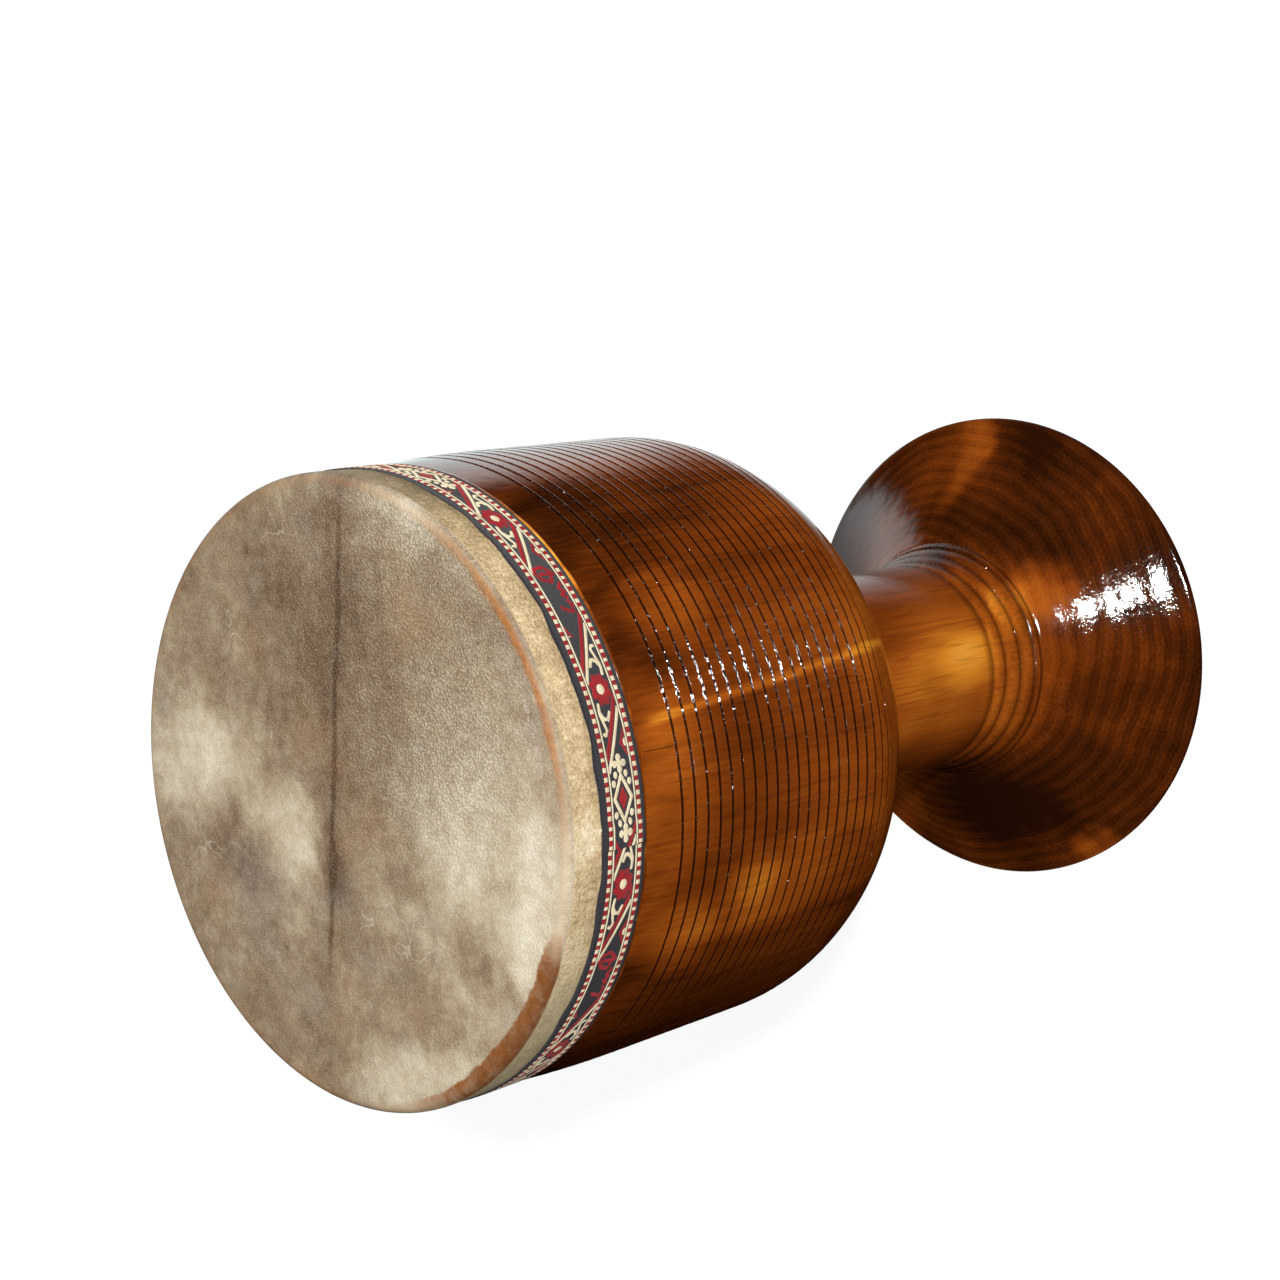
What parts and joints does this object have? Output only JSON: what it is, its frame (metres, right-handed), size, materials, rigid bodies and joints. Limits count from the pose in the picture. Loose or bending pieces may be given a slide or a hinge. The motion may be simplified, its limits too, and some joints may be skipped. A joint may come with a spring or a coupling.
{
  "type": "goblet drum",
  "caption": "Persian tombak: a turned wooden goblet drum with a glued goat-skin head, a woven trim ribbon and a flared bell.",
  "frame": {"origin": "centre of the bell's rim, in the plane that the drum stands on", "axes": "+Z along the drum's axis, from the bell up to the head; the ribbon's lap seam faces -Y"},
  "size_m": [0.2636, 0.2636, 0.4615],
  "materials": {
    "walnut": "dark-figured walnut under gloss lacquer",
    "goat_skin": "dry matt hide, mottled",
    "woven_ribbon": "jacquard weave, black with red and cream",
    "glue": "dried amber glue under lacquer"
  },
  "bodies": {
    "root": {"shell": "walnut", "skin": "goat_skin", "hide_glue": "glue", "ribbon": "woven_ribbon", "glue_bead": "glue"}
  },
  "joints": []
}
